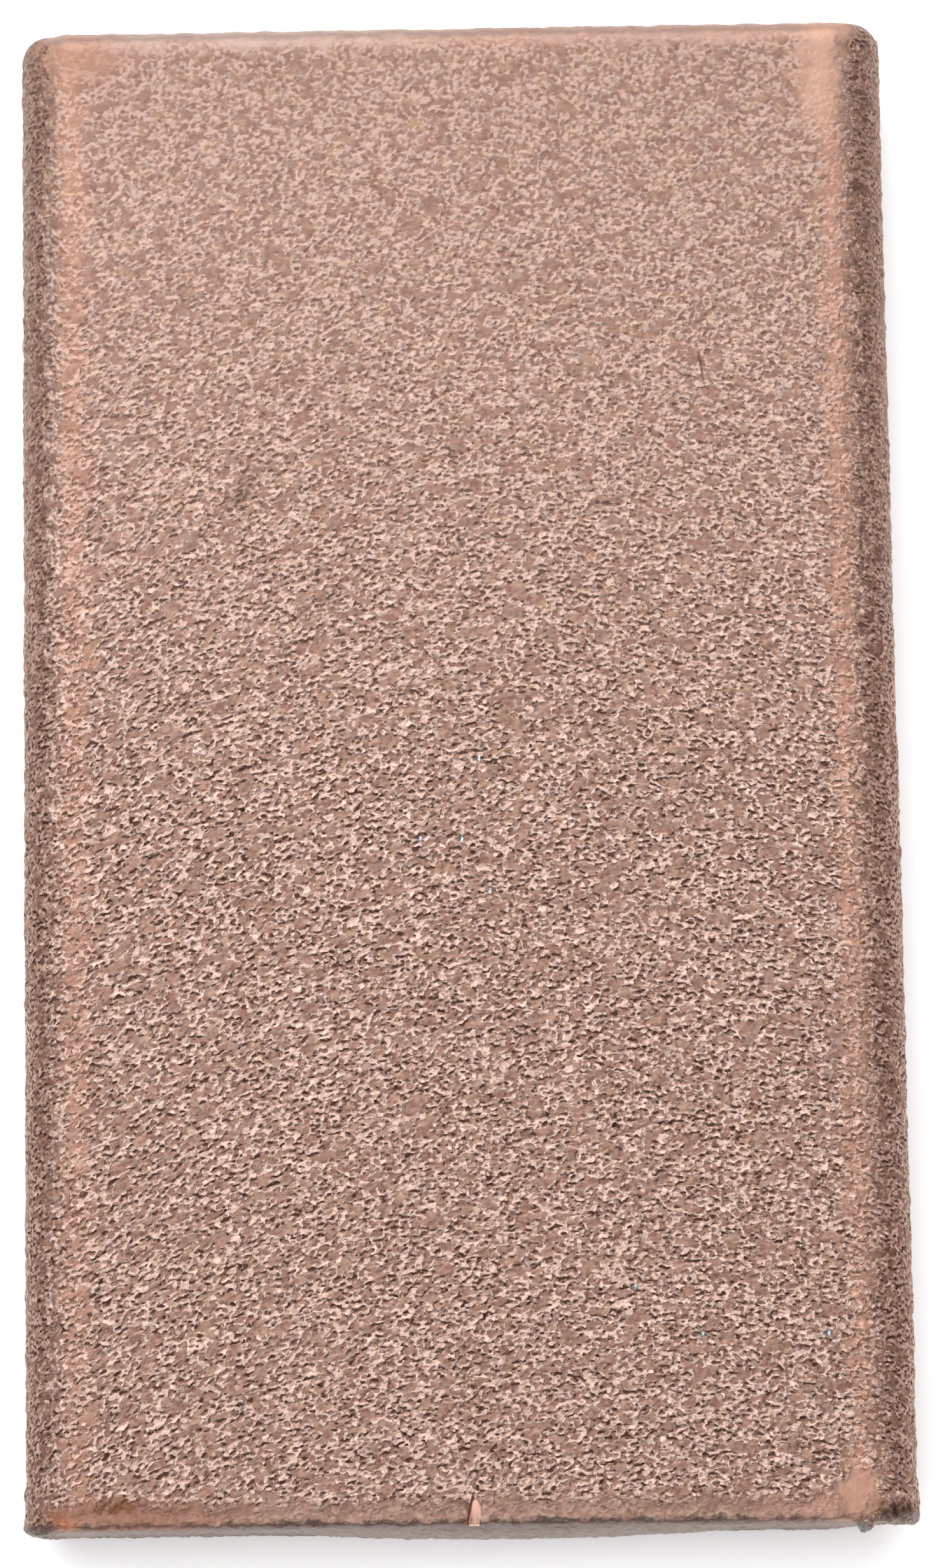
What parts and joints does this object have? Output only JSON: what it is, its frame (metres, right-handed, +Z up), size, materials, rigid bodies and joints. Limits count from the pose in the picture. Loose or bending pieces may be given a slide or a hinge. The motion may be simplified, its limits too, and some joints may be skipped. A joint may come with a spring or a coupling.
{
  "type": "copper ingot",
  "caption": "Small solid slab of bare copper flat bar with rounded long edges, square-cut ends with a smooth worn lip, and a fine grainy blasted surface.",
  "frame": {"origin": "middle of the flat face that the ingot rests on", "axes": "+Y along the ingot's length, +X across its width, +Z up through its thickness"},
  "size_m": [0.05, 0.087, 0.0118],
  "materials": {
    "copper": "matte"
  },
  "bodies": {
    "root": {"ingot": "copper"}
  },
  "joints": []
}
